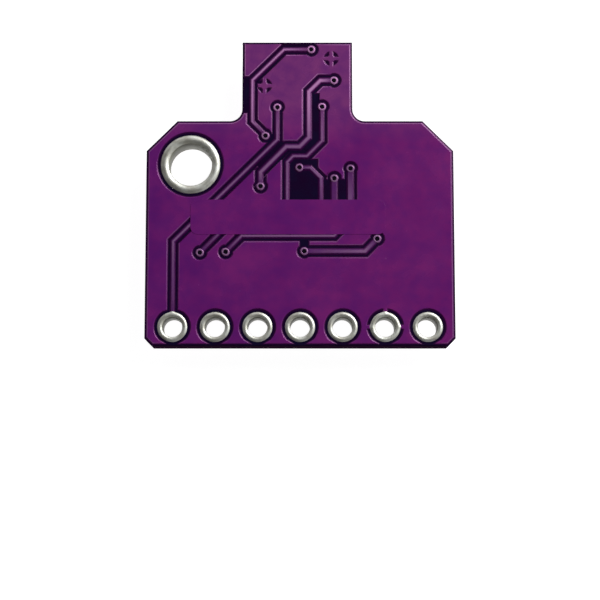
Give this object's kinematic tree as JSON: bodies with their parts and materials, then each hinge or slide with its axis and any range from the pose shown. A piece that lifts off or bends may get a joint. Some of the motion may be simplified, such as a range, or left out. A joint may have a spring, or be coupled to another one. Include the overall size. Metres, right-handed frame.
{
  "type": "pressure sensor module",
  "caption": "T-shaped purple breakout board with a pressure sensor on its tab, a plated screw hole and a row of plated header holes along its lower edge.",
  "frame": {"origin": "middle of the board's outline, on the surface that the tallest parts rest on", "axes": "+Z out of the board's rear face, +Y towards the sensor tab, +X along the header row"},
  "size_m": [0.0186, 0.0186, 0.0027],
  "materials": {
    "laminate": "glossy lacquer over woven glass laminate",
    "via_fill": "lacquer-plugged plated via",
    "masked_copper": "copper foil under glossy purple lacquer",
    "masked_track": "copper track under glossy purple lacquer",
    "field_ink": "bare field in the board's own purple",
    "white_ink": "white epoxy ink",
    "solder": "bright hot-air-levelled solder",
    "lid_metal": "drawn nickel-plated lid",
    "sensor_laminate": "dark green package laminate",
    "silicon": "sawn silicon",
    "moulding": "black epoxy moulding",
    "tinned_lead": "matt tin plating",
    "capacitor_ceramic": "tan ceramic",
    "resistor_ceramic": "white alumina",
    "resistor_glaze": "dark glass glaze"
  },
  "bodies": {
    "root": {"t_shaped_laminate": "laminate", "via_barrels": "via_fill", "rear_ground_copper": "masked_copper", "front_ground_copper": "masked_copper", "screw_hole_plating": "solder", "rear_printed_field": "field_ink", "front_printed_outlines": "white_ink", "front_spare_contacts": "solder", "sensor_lid": "lid_metal", "sensor_base": "sensor_laminate", "sensor_readout_die": "silicon", "sensor_pressure_die": "silicon", "sensor_solder_joints": "solder", "part_solder_joints": "solder", "regulator_body": "moulding", "line_protector_body": "moulding", "regulator_leads": "tinned_lead", "line_protector_leads": "tinned_lead", "capacitor_bodies": "capacitor_ceramic", "resistor_bodies": "resistor_ceramic", "resistor_glazes": "resistor_glaze", "chip_end_caps": "tinned_lead", "rear_io_supply_track": "masked_track", "rear_core_supply_track": "masked_track", "rear_interrupt_track": "masked_track", "rear_select_track": "masked_track", "rear_data_track": "masked_track", "rear_clock_track": "masked_track", "rear_address_track": "masked_track", "rear_link_track": "masked_track", "front_supply_track": "masked_track", "front_data_track": "masked_track", "front_clock_track": "masked_track", "front_select_track": "masked_track", "front_address_track": "masked_track", "front_interrupt_track": "masked_track", "front_input_track": "masked_track", "header_hole_plating_1": "solder", "header_hole_plating_2": "solder", "header_hole_plating_3": "solder", "header_hole_plating_4": "solder", "header_hole_plating_5": "solder", "header_hole_plating_6": "solder", "header_hole_plating_7": "solder"}
  },
  "joints": []
}
